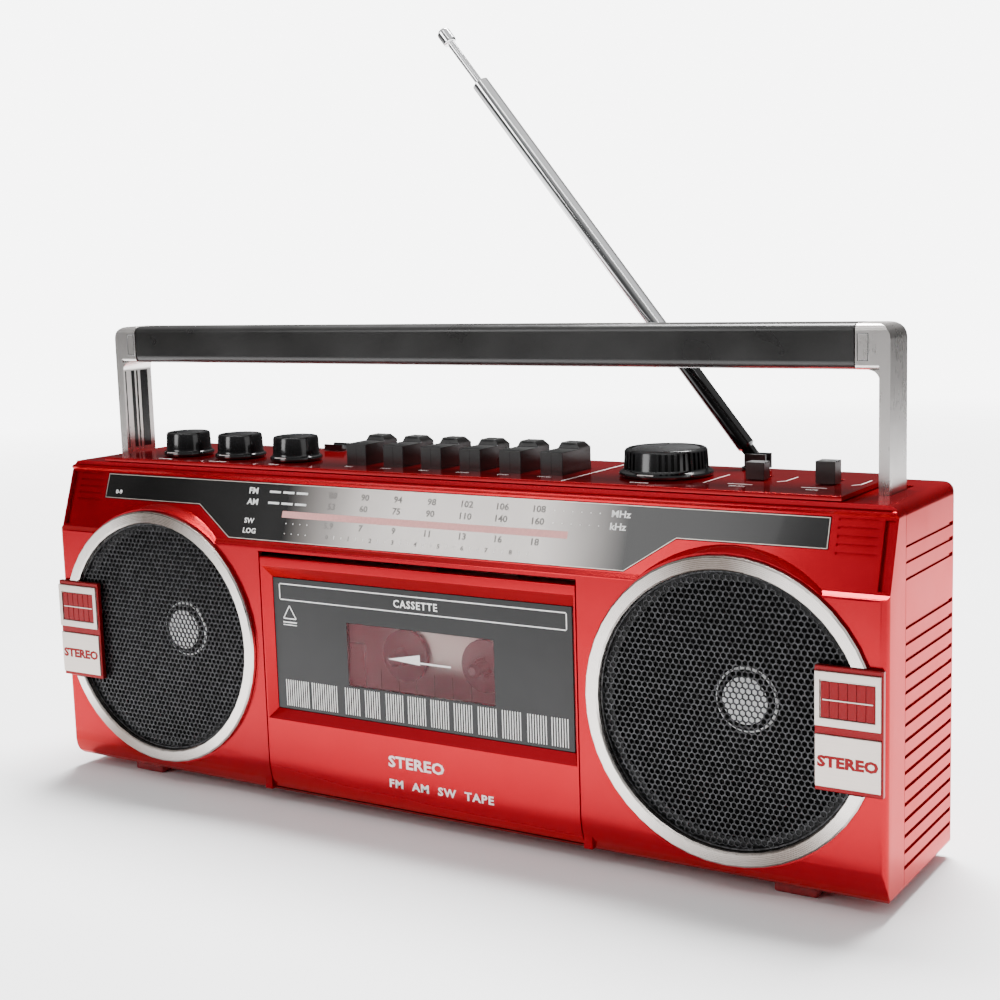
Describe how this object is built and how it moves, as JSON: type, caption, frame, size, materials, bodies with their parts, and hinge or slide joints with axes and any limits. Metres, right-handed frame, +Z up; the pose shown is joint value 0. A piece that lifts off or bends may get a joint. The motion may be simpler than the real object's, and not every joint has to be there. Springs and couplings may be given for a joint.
{
  "type": "portable radio cassette player",
  "caption": "Portable stereo radio-cassette player with folding handle, telescopic aerial, opening cassette door, sprung keys, knobs and slide switches.",
  "frame": {"origin": "on the ground under the middle of the cabinet", "axes": "+X to the player's right seen from the front, +Y towards the rear, +Z up; the front faces -Y"},
  "size_m": [0.42, 0.0835, 0.3486],
  "materials": {
    "red_plastic": "glossy metallic red moulding",
    "black_plastic": "gloss black moulding",
    "key_plastic": "satin dark grey",
    "chrome": "polished",
    "silver_trim": "brushed champagne silver",
    "grille_metal": "perforated black sheet",
    "smoked_lens": "smoked, printed from behind",
    "pointer_red": "painted",
    "cone_paper": "pressed paper",
    "board_green": "lacquered board",
    "rubber": "moulded",
    "plated_steel": "zinc plated",
    "ferrite": "dark, fine-grained"
  },
  "bodies": {
    "cabinet": {"front_cabinet": "red_plastic", "rear_cabinet": "red_plastic", "top_plate": "red_plastic", "dial_lens": "smoked_lens", "dial_scale": "black_plastic", "speaker_ring_left": "silver_trim", "speaker_ring_right": "silver_trim", "speaker_grille_left": "grille_metal", "speaker_grille_right": "grille_metal", "speaker_frame_left": "plated_steel", "speaker_frame_right": "plated_steel", "speaker_magnet_left": "ferrite", "speaker_magnet_right": "ferrite", "badge_left": "silver_trim", "badge_right": "silver_trim", "circuit_board": "board_green", "battery_box": "black_plastic", "power_transformer": "ferrite", "mains_inlet": "black_plastic", "foot_front_left": "rubber", "foot_front_right": "rubber", "foot_rear_left": "rubber", "foot_rear_right": "rubber", "deck_chassis": "plated_steel", "deck_motor": "plated_steel", "key_guide": "plated_steel", "antenna_clip": "black_plastic"},
    "handle": {"handle_arm_left": "chrome", "handle_arm_right": "chrome", "handle_grip": "black_plastic"},
    "antenna_mount": {"antenna_base": "black_plastic"},
    "antenna_lower": {"antenna_tube": "chrome"},
    "antenna_second": {"antenna_section_2": "chrome"},
    "antenna_third": {"antenna_section_3": "chrome"},
    "antenna_top": {"antenna_rod": "chrome"},
    "cassette_door": {"cassette_door": "red_plastic", "door_lens": "smoked_lens", "cassette_holder": "black_plastic"},
    "takeup_reel": {"takeup_reel": "black_plastic"},
    "supply_reel": {"supply_reel": "black_plastic"},
    "flywheel": {"capstan_flywheel": "plated_steel"},
    "heads": {"head_bridge": "plated_steel"},
    "pinch_roller": {"pinch_roller": "rubber"},
    "battery_lid": {"battery_door": "red_plastic"},
    "tuning_knob": {"tuning_knob": "black_plastic"},
    "dial_pointer": {"dial_pointer": "pointer_red"},
    "band_switch": {"band_switch": "black_plastic"},
    "mode_switch": {"mode_switch": "black_plastic"},
    "cone_left": {"speaker_cone_left": "cone_paper"},
    "cone_right": {"speaker_cone_right": "cone_paper"},
    "record_key": {"record_key": "key_plastic"},
    "play_key": {"play_key": "key_plastic"},
    "rewind_key": {"rewind_key": "key_plastic"},
    "forward_key": {"forward_key": "key_plastic"},
    "stop_key": {"stop_key": "key_plastic"},
    "pause_key": {"pause_key": "key_plastic"},
    "volume_knob": {"volume_knob": "black_plastic"},
    "balance_knob": {"balance_knob": "black_plastic"},
    "tone_knob": {"tone_knob": "black_plastic"}
  },
  "joints": [
    {"name": "handle_tilt", "type": "hinge", "parent": "cabinet", "child": "handle", "pos_m": [0, 0.006, 0.137], "axis": [-1, 0, 0], "range_deg": [0, 9]},
    {"name": "antenna_swivel", "type": "hinge", "parent": "cabinet", "child": "antenna_mount", "pos_m": [0.128, 0.034, 0.1565], "axis": [0, 0, 1], "range_deg": [-180, 0]},
    {"name": "antenna_tilt", "type": "hinge", "parent": "antenna_mount", "child": "antenna_lower", "pos_m": [0.128, 0.034, 0.1605], "axis": [0, 1, 0], "range_deg": [-51, 38]},
    {"name": "antenna_slide_1", "type": "slide", "parent": "antenna_lower", "child": "antenna_second", "axis": [-0.6247, 0, 0.7809], "range_m": [0, 0.18]},
    {"name": "antenna_slide_2", "type": "slide", "parent": "antenna_second", "child": "antenna_third", "axis": [-0.6247, 0, 0.7809], "range_m": [0, 0.18]},
    {"name": "antenna_slide_3", "type": "slide", "parent": "antenna_third", "child": "antenna_top", "axis": [-0.6247, 0, 0.7809], "range_m": [-0.022, 0.16]},
    {"name": "volume_turn", "type": "hinge", "parent": "cabinet", "child": "volume_knob", "pos_m": [-0.152, -0.005, 0.156], "axis": [0, 0, 1], "range_deg": [-140, 140]},
    {"name": "balance_turn", "type": "hinge", "parent": "cabinet", "child": "balance_knob", "pos_m": [-0.119, -0.005, 0.156], "axis": [0, 0, 1], "range_deg": [-140, 140]},
    {"name": "tone_turn", "type": "hinge", "parent": "cabinet", "child": "tone_knob", "pos_m": [-0.085, -0.005, 0.156], "axis": [0, 0, 1], "range_deg": [-140, 140]},
    {"name": "tuning_turn", "type": "hinge", "parent": "cabinet", "child": "tuning_knob", "pos_m": [0.101, 0.0057, 0.156], "axis": [0, 0, 1], "range_deg": [-540, 540]},
    {"name": "pointer_slide", "type": "slide", "parent": "cabinet", "child": "dial_pointer", "axis": [1, 0, 0], "range_m": [-0.0801, 0.0801]},
    {"name": "record_press", "type": "slide", "parent": "cabinet", "child": "record_key", "axis": [0, 0, -1], "range_m": [0, 0.004], "stiffness_N_per_m": 400, "springref_m": -0.001},
    {"name": "play_press", "type": "slide", "parent": "cabinet", "child": "play_key", "axis": [0, 0, -1], "range_m": [0, 0.004], "stiffness_N_per_m": 400, "springref_m": -0.001},
    {"name": "rewind_press", "type": "slide", "parent": "cabinet", "child": "rewind_key", "axis": [0, 0, -1], "range_m": [0, 0.004], "stiffness_N_per_m": 400, "springref_m": -0.001},
    {"name": "forward_press", "type": "slide", "parent": "cabinet", "child": "forward_key", "axis": [0, 0, -1], "range_m": [0, 0.004], "stiffness_N_per_m": 400, "springref_m": -0.001},
    {"name": "stop_press", "type": "slide", "parent": "cabinet", "child": "stop_key", "axis": [0, 0, -1], "range_m": [0, 0.004], "stiffness_N_per_m": 400, "springref_m": -0.001},
    {"name": "pause_press", "type": "slide", "parent": "cabinet", "child": "pause_key", "axis": [0, 0, -1], "range_m": [0, 0.004], "stiffness_N_per_m": 400, "springref_m": -0.001},
    {"name": "band_slide", "type": "slide", "parent": "cabinet", "child": "band_switch", "axis": [0, 1, 0], "range_m": [0, 0.009]},
    {"name": "mode_slide", "type": "slide", "parent": "cabinet", "child": "mode_switch", "axis": [0, 1, 0], "range_m": [0, 0.009]},
    {"name": "door_open", "type": "hinge", "parent": "cabinet", "child": "cassette_door", "pos_m": [0, -0.0328, 0.0125], "axis": [1, 0, 0], "range_deg": [0, 32]},
    {"name": "takeup_turn", "type": "hinge", "parent": "cabinet", "child": "takeup_reel", "pos_m": [-0.02125, -0.0113, 0.071], "axis": [0, -1, 0], "continuous": true},
    {"name": "supply_turn", "type": "hinge", "parent": "cabinet", "child": "supply_reel", "pos_m": [0.02125, -0.0113, 0.071], "axis": [0, -1, 0], "continuous": true},
    {"name": "capstan_turn", "type": "hinge", "parent": "cabinet", "child": "flywheel", "pos_m": [-0.024, -0.0089, 0.097], "axis": [0, -1, 0], "continuous": true},
    {"name": "head_slide", "type": "slide", "parent": "cabinet", "child": "heads", "axis": [0, 0, -1], "range_m": [0, 0.004]},
    {"name": "roller_turn", "type": "hinge", "parent": "heads", "child": "pinch_roller", "pos_m": [-0.024, -0.0195, 0.1085], "axis": [0, -1, 0], "continuous": true},
    {"name": "battery_lid_open", "type": "hinge", "parent": "cabinet", "child": "battery_lid", "pos_m": [0, 0.04, 0.0135], "axis": [-1, 0, 0], "range_deg": [0, 100]},
    {"name": "cone_left_move", "type": "slide", "parent": "cabinet", "child": "cone_left", "axis": [0, -1, 0], "range_m": [-0.001, 0.001], "stiffness_N_per_m": 2000},
    {"name": "cone_right_move", "type": "slide", "parent": "cabinet", "child": "cone_right", "axis": [0, -1, 0], "range_m": [-0.001, 0.001], "stiffness_N_per_m": 2000}
  ],
  "couplings": [
    {"joint": "pointer_slide", "follows": "tuning_turn", "m_per_rad": -0.0084883},
    {"joint": "head_slide", "follows": "play_press", "ratio": 1}
  ]
}
